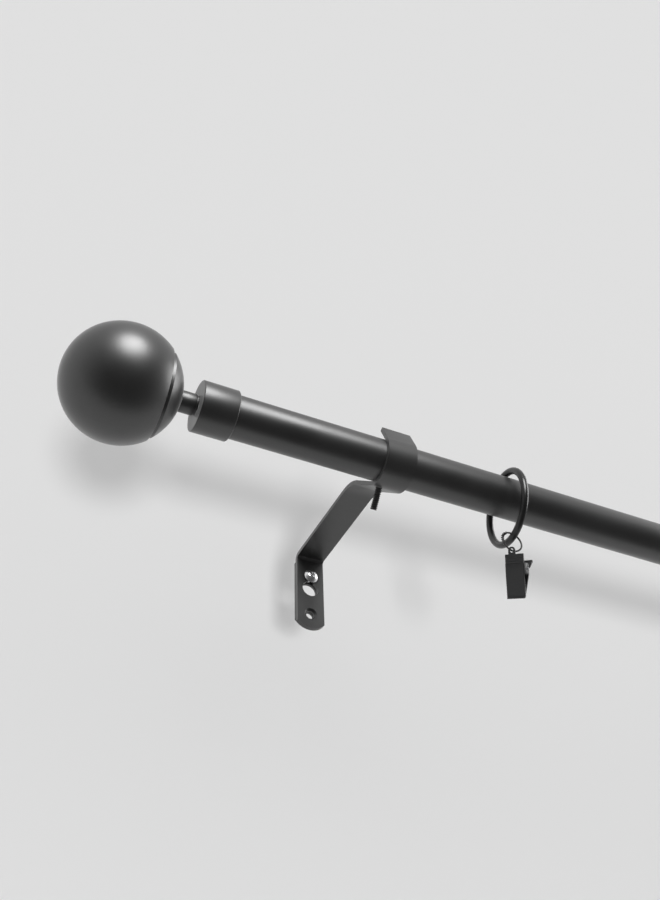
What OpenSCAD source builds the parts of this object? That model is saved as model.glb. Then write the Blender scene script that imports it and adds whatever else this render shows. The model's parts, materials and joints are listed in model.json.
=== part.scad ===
// Extending curtain rod with ball finials, two wall brackets, and a curtain ring with its clip.
// X runs along the rod, Y points into the wall, Z is up. The origin is on the wall,
// midway between the lower fixing holes of the two brackets.

/* [Rod] */
// Outside diameter of the outer tube
tube_d = 25; // [19:0.5:32]
// Wall thickness of both tubes
tube_wall = 0.8; // [0.6:0.1:1.2]
// Distance between the outer ends of the two tubes with the rod closed
rod_closed = 714; // [640:1:860]
// Length of the inner tube that shows with the rod closed
inner_show = 60; // [40:1:80]
// How far the rod pulls out
rod_travel = 505; // [300:5:560]
// Length of inner tube that stays in the outer tube with the rod pulled out
tube_overlap = 90; // [60:5:100]

/* [Finials] */
// Diameter of the ball
ball_d = 66.4; // [50:0.2:80]
// Wall thickness of the ball
ball_wall = 1.6; // [1:0.1:2.5]
// Distance from the ball's centre to the seam of its back cap
seam_offset = 20.6; // [16:0.1:24]
// Diameter of the neck between ball and collar
neck_d = 12.2; // [10:0.1:16]
// Gap from the ball's surface to the collar, bridged by the neck
neck_show = 8.8; // [4:0.1:20]
// Diameter of the collar
collar_d = 29.3; // [28:0.1:40]
// Length of the collar
collar_length = 20.7; // [15:0.1:30]
// Thickness of the collar's closed end
collar_end = 3; // [2:0.1:5]
// Diameter of the threaded stud
stud_d = 8; // [6:1:9]
// Thread length that holds the finial on
thread_reach = 12; // [11:1:16]
// Length of the threaded plug in each tube end
plug_length = 18; // [17:1:24]

/* [Brackets] */
// Distance between the centres of the two brackets
bracket_spacing = 482; // [400:1:500]
// Distance from the wall to the rod's axis
projection = 118; // [90:1:160]
// Width of the bracket strap
strap_w = 18.3; // [16:0.1:24]
// Thickness of the bracket strap
strap_t = 2.6; // [2:0.1:3.5]
// Height of the arm's underside over the rod's axis
arm_rise = 8.8; // [6:0.1:14]
// Slope of the strap where it leaves the cradle
cradle_slope = 40; // [35:1:45]
// Height of the front lip's start over the rod's axis, as an angle
lip_angle = 23; // [15:1:30]
// Length of the straight front lip
lip_length = 13; // [8:0.5:16]
// Radius of the bend between cradle and arm
hump_r = 30; // [20:1:34]
// Inside radius of the bend at the wall
bend_r = 2; // [1:0.5:4]
// Diameter of the set screw
set_screw_d = 4; // [3:0.5:5]
// Length of the set screw
set_screw_length = 15.5; // [10:0.5:20]
// Distance of the set screw from the middle of the strap, towards the rod's left end
set_screw_shift = 3.6; // [0:0.1:5]

/* [Wall foot] */
// Thickness of the wall plate
plate_t = 2.2; // [1.5:0.1:3]
// Height of the wall plate's top over the rod's axis
plate_top = 6; // [2:0.5:8]
// Depth of the arm's foot under the rod's axis
foot_drop = 44; // [42:0.5:52]
// Depth of the wall plate under the rod's axis
plate_drop = 41.5; // [41:0.5:52]
// Radius of the foot's rounded end
foot_end_r = 12; // [12:0.5:20]
// Depth of the lower fixing hole under the rod's axis
fixing_drop = 33.5; // [32:0.5:36]
// Diameter of the lower fixing hole
fixing_d = 5.6; // [4:0.1:7]
// Diameter of the lower hole's countersink
sink_d = 8.4; // [7.5:0.1:10]
// Depth of the lower hole's countersink
sink_depth = 1.2; // [0.8:0.1:1.5]
// Depth of the plate screw under the rod's axis
screw_drop = 5.6; // [5:0.1:7]
// Diameter of the plate screw
plate_screw_d = 4; // [3:0.5:4]
// Diameter of the plate screw's head
head_d = 9.4; // [8:0.1:10]
// Height of the plate screw's head
head_h = 2.7; // [2:0.1:3]
// Gap between the plate screw's head and the arm's foot
head_stand_off = 1.5; // [0.4:0.1:1.8]
// How far the arm lifts on the plate screw before the head passes the keyhole
keyhole_lift = 8.7; // [8:0.1:10]
// Diameter of the keyhole's round end
keyhole_d = 11; // [10.6:0.1:12]
// Width of the keyhole's slot
slot_w = 5; // [4.6:0.1:6]
// Diameter of the wall plate's middle hole
access_d = 10.4; // [9:0.1:10.6]

/* [Ring and clip] */
// Distance of the ring from the left bracket's centre
ring_place = 77.7; // [60:0.1:200]
// Inside diameter of the curtain ring
ring_inner_d = 40.9; // [38:0.1:50]
// Wire diameter of the curtain ring
ring_wire = 4.3; // [3:0.1:5]
// How far the ring is turned from square to the rod
ring_yaw = 6; // [0:1:10]
// Outside diameter of the clip's eyelet
eyelet_d = 14.5; // [13:0.1:18]
// Wire diameter of the eyelet
eyelet_wire = 1.3; // [1:0.1:1.6]
// How far the eyelet has swung along the rod
eyelet_swing = 11; // [0:1:20]
// Turn of the clip about the vertical
clip_yaw = -62; // [-80:1:-50]
// Sideways lean of the clip
clip_lean = 21; // [0:1:25]
// Swing of the clip towards the wall
clip_pitch = 26; // [0:1:30]
// Width of the clip
clip_w = 12.8; // [11:0.1:16]
// Height of the clip's front plate
clip_h = 24; // [22:0.5:32]
// Sheet thickness of the clip
clip_t = 0.8; // [0.6:0.1:1]
// Distance of the hanging tab from the middle of the clip
tab_shift = 1.5; // [0:0.1:3]
// Depth of the open handle behind the clip's front plate
handle_depth = 11.5; // [9:0.5:13]
// Diameter of the clip's pin
pin_d = 1.6; // [1.2:0.1:2]
// Wire diameter of the clip's spring
spring_wire = 0.7; // [0.5:0.1:0.8]
// Number of turns of the clip's spring
spring_turns = 5; // [3:1:6]

/* [Hidden] */

$fn = 96;
part_gap = 0.3;     // free gap between pieces that move past each other
running_gap = 0.06; // radial clearance of a shaft in its hole
seat_gap = 0.03;    // radial clearance of pieces fixed to each other
face_gap = 0.2;     // gap between the arm's foot and the wall plate
cut = 1;            // overshoot of a cutting tool, or lap of two shapes that join
arc_step = 5;       // angle between the points of a bent outline

// Places
rod_z = fixing_drop;
tube_end = rod_closed / 2;
tube_bore_d = tube_d - 2 * tube_wall;
inner_tube_d = tube_bore_d - 2 * part_gap;
inner_bore_d = inner_tube_d - 2 * tube_wall;
inner_length = inner_show + rod_travel + tube_overlap;
glide_length = 14;
glide_flange = 2;
glide_wall = 2;

// Finial, along its own axis from the ball's centre towards the tube
ball_r = ball_d / 2;
seam_r = sqrt(pow(ball_r, 2) - pow(seam_offset, 2));
seam_gap = 1;
cap_step = 0.3;
cap_r = ball_r - cap_step;
cap_boss_d = neck_d + 6;
cap_boss_h = 4;
spigot_depth = 3;
stud_inset = 8;
collar_chamfer = 0.6;
neck_start = sqrt(pow(cap_r, 2) - pow(neck_d / 2, 2));
collar_face = ball_r + neck_show;
tube_face = collar_face + collar_end + part_gap;

// Bracket, seen along the rod with the rod's axis at zero
strap_in = tube_d / 2 + part_gap;
strap_out = strap_in + strap_t;
foot_y = projection - plate_t - face_gap - strap_t;
arm_top = arm_rise + strap_t;
bend_y = (strap_in + arm_top * cos(cradle_slope)) / sin(cradle_slope);
hump_reach = hump_r * tan(cradle_slope / 2);
foot_top = arm_rise - bend_r;
keyhole_drop = screw_drop + keyhole_lift;
driver_slot = [0.7, 1.2];       // width and depth of the set screw's slot
recess = [4.2, 0.9, 1.5];       // length, width and depth of the plate screw's cross
recess_turn = 20;

// Ring and clip
ring_x = -bracket_spacing / 2 + ring_place;
ring_r = (ring_inner_d + ring_wire) / 2;
ring_z = tube_d / 2 + part_gap - ring_inner_d / 2;
clip_left = tab_shift - clip_w / 2;
clip_right = tab_shift + clip_w / 2;
eyelet_r = (eyelet_d - eyelet_wire) / 2;
eyelet_drop = eyelet_r - (ring_wire + eyelet_wire) / 2 - part_gap;
hole_drop = eyelet_drop + eyelet_r;
tab_w = 4.4;
tab_hole_d = 2.6;
tab_rise = 2.1;
ear_top = -7.5;
ear_h = 6.4;
ear_depth = 4.9;
pin_y = 3.7;
pin_z = ear_top - ear_h / 2;
jaw_rest_y = clip_t / 2 + part_gap;
jaw_bottom = -tab_rise - clip_h + part_gap;
jaw_elbow = [6.2, pin_z - 1];
jaw_ear_x = clip_w / 2 - 1.5 * clip_t - part_gap;
emboss = 0.35;
rib_w = 0.9;
rib_step = 2.6;
rib_inset = 1.2;
handle_top = -5.7;
pin_end = 0.3;
coil_gap = 0.25;
turn_gap = 0.12;

// Colours
satin_black = [0.07, 0.07, 0.075];
steel = [0.78, 0.78, 0.8];
nylon = [0.85, 0.85, 0.82];
blued_steel = [0.16, 0.16, 0.18];

// The rod's axis becomes the X axis
module on_rod() { translate([0, -projection, rod_z]) children(); }

// A turned shape whose axis is Z is laid along X
module along_x() { rotate([0, 90, 0]) children(); }

module tube(d, bore, length) {
    difference() {
        cylinder(d = d, h = length);
        translate([0, 0, -cut]) cylinder(d = bore, h = length + 2 * cut);
    }
}

// --- Tubes ---

module outer_tube() {
    color(satin_black) on_rod() translate([-tube_end, 0, 0]) along_x()
        tube(tube_d, tube_bore_d, rod_closed - inner_show);
}

module inner_tube() {
    color(satin_black) on_rod() translate([tube_end - inner_length, 0, 0]) along_x()
        tube(inner_tube_d, inner_bore_d, inner_length);
}

// Plastic sleeve that guides the hidden end of the inner tube
module tube_glide() {
    color(nylon) on_rod() translate([tube_end - inner_length - glide_flange, 0, 0]) along_x()
        difference() {
            union() {
                cylinder(d = inner_bore_d - 2 * seat_gap, h = glide_length + glide_flange);
                cylinder(d = tube_bore_d - 2 * running_gap, h = glide_flange);
            }
            translate([0, 0, -cut])
                cylinder(d = inner_bore_d - 2 * glide_wall, h = glide_length + glide_flange + 2 * cut);
        }
}

// --- Finials ---

// Places a finial on the left end, or mirrors it onto the right end
module finial_place(side) {
    on_rod() mirror([side > 0 ? 1 : 0, 0, 0]) translate([-tube_end - tube_face, 0, 0]) along_x() children();
}

// Hollow ball, cut off square at the seam
module ball_shell(side) {
    color(satin_black) finial_place(side)
        difference() {
            sphere(r = ball_r);
            sphere(r = ball_r - ball_wall);
            translate([0, 0, seam_offset]) cylinder(r = ball_d, h = ball_d);
        }
}

// Back cap: a shallow dome with a spigot inside the ball and a boss for the neck
module ball_cap(side) {
    spigot_r = sqrt(pow(ball_r - ball_wall, 2) - pow(seam_offset, 2)) - seat_gap;
    color(satin_black) finial_place(side)
        difference() {
            union() {
                intersection() {
                    difference() {
                        sphere(r = cap_r);
                        sphere(r = cap_r - ball_wall);
                    }
                    translate([0, 0, seam_offset + seam_gap]) cylinder(r = ball_d, h = ball_d);
                }
                translate([0, 0, seam_offset - spigot_depth])
                    tube(2 * spigot_r, 2 * (spigot_r - ball_wall), spigot_depth + seam_gap + cut);
                intersection() {
                    sphere(r = cap_r);
                    translate([0, 0, cap_r - cap_boss_h]) cylinder(d = cap_boss_d, h = cap_boss_h);
                }
            }
            cylinder(d = stud_d + 2 * seat_gap, h = ball_d);
            translate([0, 0, neck_start]) cylinder(d = neck_d + 2 * seat_gap, h = ball_d);
        }
}

// Neck with a threaded stud at both ends
module stud(side) {
    color(satin_black) finial_place(side) {
        translate([0, 0, neck_start]) cylinder(d = neck_d, h = collar_face - part_gap - neck_start);
        translate([0, 0, cap_r - stud_inset])
            cylinder(d = stud_d, h = tube_face + thread_reach - cap_r + stud_inset);
    }
}

// Cup that covers the tube's end
module collar(side, cover_d) {
    color(satin_black) finial_place(side) translate([0, 0, collar_face])
        difference() {
            union() {
                cylinder(d = collar_d, h = collar_length - collar_chamfer);
                translate([0, 0, collar_length - collar_chamfer])
                    cylinder(d1 = collar_d, d2 = collar_d - 2 * collar_chamfer, h = collar_chamfer);
            }
            translate([0, 0, collar_end]) cylinder(d = cover_d + 2 * running_gap, h = collar_length);
            translate([0, 0, -cut]) cylinder(d = stud_d + 2 * running_gap, h = collar_length);
        }
}

// Threaded plug fixed in the tube's end
module plug(side, bore) {
    color(nylon) finial_place(side) translate([0, 0, tube_face])
        tube(bore - 2 * seat_gap, stud_d + 2 * running_gap, plug_length);
}

// --- Brackets ---

// Places a bracket, with the rod's axis at zero
module bracket_place(side) { translate([side * bracket_spacing / 2, -projection, rod_z]) children(); }

// Bends an outline of Y and Z into a strap across X
module strap() {
    rotate([90, 0, 90]) translate([0, 0, -strap_w / 2]) linear_extrude(strap_w) children();
}

// Outline of X and Z with a round lower end, between two heights
module foot_outline(low, top) {
    arch = foot_end_r - sqrt(pow(foot_end_r, 2) - pow(strap_w / 2, 2));
    translate([-strap_w / 2, low + arch]) square([strap_w, top - low - arch]);
    intersection() {
        translate([0, low + foot_end_r]) circle(foot_end_r);
        translate([-strap_w / 2, low]) square([strap_w, arch + 0.01]);
    }
}

// Extrudes an outline of X and Z towards the wall from y
module plate_at(y, t) {
    translate([0, y + t, 0]) rotate([90, 0, 0]) linear_extrude(t) children();
}

// Points of an arc round c, from angle a to angle b
function arc(c, r, a, b) =
    let (steps = ceil(abs(b - a) / arc_step))
    [for (i = [0:steps]) let (t = a + (b - a) * i / steps) c + r * [cos(t), sin(t)]];

// The strap from its front lip, round the cradle and over the arm to the foot: out along the
// side away from the rod, and back along the other
module strap_outline() {
    lip = 180 - lip_angle;
    lip_tip = lip_length * [sin(lip), -cos(lip)];
    slope_end = 270 + cradle_slope;
    hump = [bend_y + hump_reach, arm_top - hump_r];
    corner = [foot_y - bend_r, foot_top];
    polygon(concat(
        [strap_out * [cos(lip), sin(lip)] + lip_tip],
        arc([0, 0], strap_out, lip, slope_end),
        arc(hump, hump_r - strap_t, 90 + cradle_slope, 90),
        arc(corner, bend_r, 90, 0),
        [[foot_y, foot_top - cut], [foot_y + strap_t, foot_top - cut]],
        arc(corner, bend_r + strap_t, 0, 90),
        arc(hump, hump_r, 90, 90 + cradle_slope),
        arc([0, 0], strap_in, slope_end, lip),
        [strap_in * [cos(lip), sin(lip)] + lip_tip]));
}

// Arm: cradle, arm and foot bent from one strap, with a keyhole and a countersunk hole
module arm(side) {
    color(satin_black) bracket_place(side)
        difference() {
            union() {
                strap() strap_outline();
                plate_at(foot_y, strap_t) foot_outline(-foot_drop, foot_top);
            }
            plate_at(foot_y - cut, strap_t + 2 * cut) {
                translate([0, -keyhole_drop]) circle(d = keyhole_d);
                translate([-slot_w / 2, -keyhole_drop]) square([slot_w, keyhole_lift]);
                translate([0, -screw_drop]) circle(d = slot_w);
            }
            translate([0, foot_y, -fixing_drop]) rotate([-90, 0, 0]) {
                translate([0, 0, -cut]) cylinder(d = fixing_d, h = strap_t + 2 * cut);
                cylinder(d1 = sink_d, d2 = fixing_d, h = sink_depth);
            }
            set_screw_axis() cylinder(d = set_screw_d + 2 * running_gap, h = strap_out + cut);
        }
}

// Points Z from the rod's axis out through the cradle's tapped hole
module set_screw_axis() { translate([-set_screw_shift, 0, 0]) rotate([180 + cradle_slope, 0, 0]) children(); }

module wall_plate(side) {
    color(satin_black) bracket_place(side)
        difference() {
            plate_at(projection - plate_t, plate_t) foot_outline(-plate_drop, plate_top);
            for (hole = [
                [screw_drop, plate_screw_d + 2 * running_gap],
                [keyhole_drop, access_d],
                [fixing_drop, fixing_d]])
                translate([0, projection - plate_t - cut, -hole[0]]) rotate([-90, 0, 0])
                    cylinder(d = hole[1], h = plate_t + 2 * cut);
        }
}

// Headless screw that clamps the rod in its cradle, with a driver slot in its outer end
module set_screw(side) {
    chamfer = 0.15 * set_screw_d;
    color(satin_black) bracket_place(side) set_screw_axis() translate([0, 0, strap_in])
        difference() {
            union() {
                cylinder(d1 = set_screw_d - 2 * chamfer, d2 = set_screw_d, h = chamfer);
                translate([0, 0, chamfer]) cylinder(d = set_screw_d, h = set_screw_length - chamfer);
            }
            translate([-set_screw_d, -driver_slot[0] / 2, set_screw_length - driver_slot[1]])
                cube([2 * set_screw_d, driver_slot[0], driver_slot[1] + cut]);
        }
}

// Domed cross-recess screw that holds the arm's foot on the wall plate
module plate_screw(side) {
    dome_r = (pow(head_d / 2, 2) + pow(head_h, 2)) / (2 * head_h);
    seat_y = foot_y - head_stand_off;
    // Screwed home, its end stops just short of the wall
    shank = plate_t + strap_t + part_gap;
    color(steel) bracket_place(side) translate([0, seat_y, -screw_drop]) rotate([90, 0, 0])
        difference() {
            union() {
                intersection() {
                    translate([0, 0, head_h - dome_r]) sphere(r = dome_r);
                    cylinder(d = head_d, h = head_h);
                }
                translate([0, 0, -shank]) cylinder(d = plate_screw_d, h = shank + cut);
            }
            for (turn = [recess_turn, recess_turn + 90])
                rotate(turn) translate([-recess[0] / 2, -recess[1] / 2, head_h - recess[2]])
                    cube([recess[0], recess[1], recess[2] + cut]);
        }
}

// --- Ring and clip ---

module curtain_ring() {
    color(satin_black) on_rod() translate([ring_x, 0, ring_z]) rotate([0, 0, -ring_yaw]) along_x()
        rotate_extrude() translate([ring_r, 0]) circle(d = ring_wire, $fn = 32);
}

// Moves to the bottom of the ring's wire, swung with the eyelet
module at_ring_bottom() {
    on_rod() translate([ring_x, 0, ring_z - ring_r]) rotate([0, eyelet_swing, 0]) children();
}

module clip_eyelet() {
    color(blued_steel) at_ring_bottom() translate([0, 0, -eyelet_drop]) rotate([90, 0, 0])
        rotate_extrude() translate([eyelet_r, 0]) circle(d = eyelet_wire, $fn = 24);
}

// The clip's own frame: X across, Y through from front to back, Z up, origin in its tab's hole
module clip_place() {
    on_rod() translate([ring_x - hole_drop * sin(eyelet_swing), 0, ring_z - ring_r - hole_drop * cos(eyelet_swing)])
        rotate([0, 0, clip_yaw]) rotate([0, clip_lean, 0]) rotate([clip_pitch, 0, 0]) children();
}

// Flat piece of the clip's sheet metal standing across Y
module sheet(x0, x1, y, z0, z1) { translate([x0, y - clip_t / 2, z0]) cube([x1 - x0, clip_t, z1 - z0]); }

// Pair of ears that stand back from a plate and carry the pin
module ears(x, y0, depth, hole) {
    for (s = [-1, 1])
        difference() {
            translate([tab_shift + s * x - clip_t / 2, y0, ear_top - ear_h]) cube([clip_t, depth, ear_h]);
            translate([tab_shift + s * x, pin_y, pin_z]) along_x()
                cylinder(d = hole, h = 2 * clip_t, center = true);
        }
}

// Front plate with its hanging tab, two pressed ribs and the outer ears
module clip_front() {
    color(satin_black) clip_place() {
        difference() {
            union() {
                sheet(clip_left, clip_right, 0, -tab_rise - clip_h, -tab_rise);
                sheet(-tab_w / 2, tab_w / 2, 0, -tab_rise, 0);
                rotate([90, 0, 0]) cylinder(d = tab_w, h = clip_t, center = true);
                for (rib = [1, 2])
                    translate([clip_left + rib_inset, -clip_t / 2 - emboss, -tab_rise - rib_step * rib])
                        cube([clip_w - 2 * rib_inset, emboss + clip_t / 2, rib_w]);
            }
            rotate([90, 0, 0]) cylinder(d = tab_hole_d, h = 2 * clip_t, center = true);
        }
        ears(clip_w / 2 - clip_t / 2, 0, ear_depth, pin_d + 2 * seat_gap);
    }
}

// Sprung jaw: lower blade, elbow at the pin and open handle
module clip_jaw() {
    blade = [[jaw_rest_y, jaw_bottom], jaw_elbow, [handle_depth, handle_top]];
    color(satin_black) clip_place() {
        rotate([90, 0, 90]) translate([0, 0, clip_left]) linear_extrude(clip_w)
            polygon(concat(blade, [for (i = [2:-1:0]) blade[i] + [clip_t, 0]]));
        ears(jaw_ear_x, pin_y - pin_d, jaw_elbow[0] + clip_t / 2 - pin_y + pin_d, pin_d + 2 * running_gap);
    }
}

module clip_pin() {
    color(steel) clip_place() translate([tab_shift, pin_y, pin_z]) along_x()
        cylinder(d = pin_d, h = clip_w + 2 * pin_end, center = true);
}

// Spring coil wound round the pin
module clip_spring() {
    coil_r = pin_d / 2 + coil_gap + spring_wire / 2;
    pitch = spring_wire + turn_gap;
    coil_l = spring_turns * pitch;
    color(blued_steel) clip_place() translate([tab_shift, pin_y, pin_z]) {
        for (i = [0:spring_turns]) translate([i * pitch - coil_l / 2, 0, 0]) along_x()
            rotate_extrude($fn = 48) translate([coil_r, 0]) circle(d = spring_wire, $fn = 16);
        translate([-coil_l / 2, 0, 0]) along_x() tube(2 * coil_r, 2 * coil_r - spring_wire, coil_l);
    }
}

outer_tube();
inner_tube();
tube_glide();
ball_shell(-1);  // left_ball_shell
ball_cap(-1);  // left_ball_cap
stud(-1);  // left_stud
collar(-1, tube_d);  // left_collar
plug(-1, tube_bore_d);  // left_plug
ball_shell(1);  // right_ball_shell
ball_cap(1);  // right_ball_cap
stud(1);  // right_stud
collar(1, inner_tube_d);  // right_collar
plug(1, inner_bore_d);  // right_plug
wall_plate(-1);  // left_wall_plate
arm(-1);  // left_arm
set_screw(-1);  // left_set_screw
plate_screw(-1);  // left_plate_screw
wall_plate(1);  // right_wall_plate
arm(1);  // right_arm
set_screw(1);  // right_set_screw
plate_screw(1);  // right_plate_screw
curtain_ring();
clip_eyelet();
clip_front();
clip_jaw();
clip_pin();
clip_spring();
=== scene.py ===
"""Looks of an extending curtain rod: ball finials, two wall brackets, a curtain ring and its clip.

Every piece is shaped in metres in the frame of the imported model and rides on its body.
"""

import json
import math

import bmesh
import bpy
from mathutils import Matrix, Vector


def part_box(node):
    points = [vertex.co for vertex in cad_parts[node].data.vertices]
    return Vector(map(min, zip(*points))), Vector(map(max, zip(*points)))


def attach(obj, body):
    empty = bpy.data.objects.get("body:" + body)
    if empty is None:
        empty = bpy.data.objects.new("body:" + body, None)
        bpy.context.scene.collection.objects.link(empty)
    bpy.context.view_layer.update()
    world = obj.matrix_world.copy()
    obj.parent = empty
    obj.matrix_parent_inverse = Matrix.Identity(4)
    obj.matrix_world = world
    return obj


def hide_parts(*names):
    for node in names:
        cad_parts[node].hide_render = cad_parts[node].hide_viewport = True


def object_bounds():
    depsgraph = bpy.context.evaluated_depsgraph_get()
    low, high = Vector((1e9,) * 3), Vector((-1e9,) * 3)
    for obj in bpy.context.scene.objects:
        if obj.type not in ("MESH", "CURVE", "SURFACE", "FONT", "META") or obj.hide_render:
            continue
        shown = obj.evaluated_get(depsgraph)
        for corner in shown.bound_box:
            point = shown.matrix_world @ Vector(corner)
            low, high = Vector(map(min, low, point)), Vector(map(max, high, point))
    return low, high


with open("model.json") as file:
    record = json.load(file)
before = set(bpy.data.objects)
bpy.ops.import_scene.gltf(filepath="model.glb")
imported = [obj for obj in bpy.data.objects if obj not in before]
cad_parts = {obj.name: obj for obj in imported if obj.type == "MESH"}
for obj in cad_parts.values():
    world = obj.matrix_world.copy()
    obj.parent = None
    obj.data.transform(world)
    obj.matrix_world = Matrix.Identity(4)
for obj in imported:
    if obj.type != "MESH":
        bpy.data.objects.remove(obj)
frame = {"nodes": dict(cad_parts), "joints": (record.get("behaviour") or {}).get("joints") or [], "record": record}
cad_lo, cad_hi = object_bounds()
joints = {joint["name"]: joint for joint in frame["joints"]}

MM = 0.001
AROUND = 96  # sides of a large round piece
NEAR = 0.05 * MM  # how close a point has to be to be picked
WELD_DISTANCE = 0.001 * MM
CUT_TOLERANCE = 0.0001 * MM
FACING = (math.pi / 2, 0, 0)  # turns a Z axis to point away from the wall
ACROSS = (0, math.pi / 2, 0)  # turns a Z axis to run along the rod

# Strap of the brackets
STRAP_T = 2.6 * MM
FIT_GAP = 0.3 * MM
LIP_ANGLE = 23
LIP_LENGTH = 13 * MM
CRADLE_SLOPE = 40
ARM_RISE = 8.8 * MM
HUMP_R = 30 * MM
BEND_R = 2 * MM
FOOT_END_R = 12 * MM
STRAP_EDGE = 0.45 * MM
PLATE_EDGE = 0.35 * MM
DRILL_DEPTH = 4 * STRAP_T
DISC_DEPTH = 60 * MM
KEEP_BLOCK = Vector((40, 400, 200)) * MM  # holds everything of a bracket above its round end

# Holes of the foot and the wall plate, as depths under the rod's axis
SCREW_DROP = 5.6 * MM
KEYHOLE_DROP = 14.3 * MM
KEYHOLE_R = 5.5 * MM
SLOT_R = 2.5 * MM
ACCESS_R = 5.2 * MM
FIXING_R = 2.8 * MM
SINK_R = 4.2 * MM
SINK_DEPTH = 1.2 * MM

# Screws
THREAD_R = 2 * MM
THREAD_PITCH = 1.2 * MM
THREAD_DEPTH = 0.45 * MM
SET_SCREW_SHIFT = 3.6 * MM
SET_SCREW_LENGTH = 15.5 * MM
THREAD_STEPS = 28
THREAD_WELD = 0.01 * MM
DRIVER_SLOT = Vector((12, 0.7, 2.4)) * MM
HEAD_H = 2.7 * MM
HEAD_RIM = 0.3 * MM
RECESS = Vector((6.4, 1.7, 3)) * MM
RECESS_TAPER = 0.45
RECESS_TURN = 20
RECESS_EDGE = 0.08 * MM
HEAD_OVERLAP = 0.6 * MM

# Finial
BALL_WALL = 1.6 * MM
NECK_R = 6.1 * MM
STUD_R = 4 * MM
COLLAR_END = 3 * MM
SEAM_GROOVE = 1.9 * MM
CAP_STEP = 0.3 * MM
SPIGOT_LENGTH = 3 * MM
BOSS_R = NECK_R + 3 * MM
BOSS_LENGTH = 4 * MM
PRESS_GAP = 0.03 * MM
STUD_CHAMFER = 0.5 * MM
NECK_STEP = 0.1 * MM
NECK_SHOULDER = 0.9 * MM
NECK_RAMP = 0.2 * MM
NECK_GROOVE = Vector((0.6, 0.5)) * MM  # width and depth
NECK_FLANGE = 0.3 * MM
COLLAR_SEAT = 0.6 * MM
COLLAR_RIM = 1.6 * MM
COLLAR_DISH = 0.25 * MM
COLLAR_ROUND = 0.25 * MM
COLLAR_CHAMFER = 0.6 * MM
BALL_EDGE = 0.35 * MM
CAP_EDGE = 0.2 * MM
NECK_EDGE = 0.1 * MM
COLLAR_EDGE = 0.12 * MM
RUNNING_GAP = 0.06 * MM

# Tubes of the rod
TUBE_WALL = 0.8 * MM
TUBE_EDGE = 0.25 * MM

# Ring and eyelet
WELD_STEPS = (1.3 * MM, 1.02), (0.7 * MM, 1.035)
EYELET_PINCH = 0.16
EYELET_THIN = 0.8
TAIL_THIN = 0.42
TAIL_TURNS = 7
TAIL_FROM, TAIL_TO = math.radians(232), math.radians(322)

# Clip, in its own upright frame: X across, Y from front to back, Z up, origin in its tab's hole
CLIP_YAW = -62
CLIP_LEAN = 21
CLIP_PITCH = 26
CLIP_W = 12.8 * MM
CLIP_H = 24 * MM
CLIP_T = 0.8 * MM
TAB_SHIFT = 1.5 * MM
TAB_W = 4.4 * MM
TAB_RISE = 2.1 * MM
TAB_HOLE_R = 1.3 * MM
EAR_TOP = -7.5 * MM
EAR_H = 6.4 * MM
EAR_DEPTH = 4.5 * MM
EAR_TIP = 1 * MM
EAR_TAPER = 0.7
PIN_Y = 3.7 * MM
PIN_R = 0.8 * MM
PIN_Z = EAR_TOP - EAR_H / 2
PIN_ROUND = 0.3 * MM
HANDLE_Y = 11.5 * MM
HANDLE_TOP = -5.7 * MM
ELBOW_Y = 6.2 * MM
ELBOW_Z = PIN_Z - 1 * MM
ELBOW_HALF = 1 * MM
BLADE_PARTS = (0.12, 1.09), (0.76, 1), (0.12, 1)  # share of the way and change of width
HANDLE_PARTS = (0.2, 1.09), (0.65, 1), (0.15, 0.9)
JAW_EAR_END = PIN_Y - 1.4 * MM
JAW_EAR_STEPS = 3
JAW_EAR_SPREAD = 1.12
JAW_HALF = CLIP_W / 2 - 1.5 * CLIP_T - FIT_GAP
RIB_SPACING = 2.6 * MM
RIB_H = 0.9 * MM
RIB_RELIEF = 0.35 * MM
RIB_INSETS = 0.7 * MM, 1.1 * MM
LIP_START = 1.6 * MM
LIP_CURL = (0.5 * MM, 0.1 * MM), (0.45 * MM, 0.28 * MM), (0.3 * MM, 0.45 * MM)  # down and forward
LIP_TAPER = 0.985
TAB_STEP = 15
CLIP_EDGE = 0.16 * MM
JAW_EDGE = 0.14 * MM
JAW_TEETH = 7
NOTCH_R = 0.55 * MM
SPRING_WIRE_R = 0.35 * MM
SPRING_TURNS = 5
SPRING_PLAY = 0.25 * MM
SPRING_GAP = 0.12 * MM


def middle(node):
    """Centre of a plain node's box."""
    low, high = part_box(node)
    return (low + high) / 2


tube_lo, tube_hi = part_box("outer_tube")
rod_y = (tube_lo.y + tube_hi.y) / 2
rod_z = (tube_lo.z + tube_hi.z) / 2
tube_r = (tube_hi.z - tube_lo.z) / 2


# --- Ways of working ---

def deselect():
    """Leaves nothing selected."""
    bpy.ops.object.select_all(action="DESELECT")


def activate(piece):
    """Makes a piece the only one selected and the active one."""
    deselect()
    piece.select_set(True)
    bpy.context.view_layer.objects.active = piece


def added(name):
    """Names the primitive that was just added and settles its place into its mesh."""
    piece = bpy.context.object
    piece.name = name
    piece.data.name = name
    bpy.ops.object.transform_apply(location=True, rotation=True, scale=True)
    return piece


def open_mesh(piece, mode="VERT"):
    """Enters edit mode on a piece with nothing selected."""
    activate(piece)
    bpy.ops.object.mode_set(mode="EDIT")
    bpy.ops.mesh.select_mode(type=mode)
    bpy.ops.mesh.select_all(action="DESELECT")


def close_mesh():
    """Joins doubled points, turns the normals outward and leaves edit mode."""
    bpy.ops.mesh.select_all(action="SELECT")
    bpy.ops.mesh.remove_doubles(threshold=WELD_DISTANCE)
    bpy.ops.mesh.normals_make_consistent(inside=False)
    bpy.ops.object.mode_set(mode="OBJECT")


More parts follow.
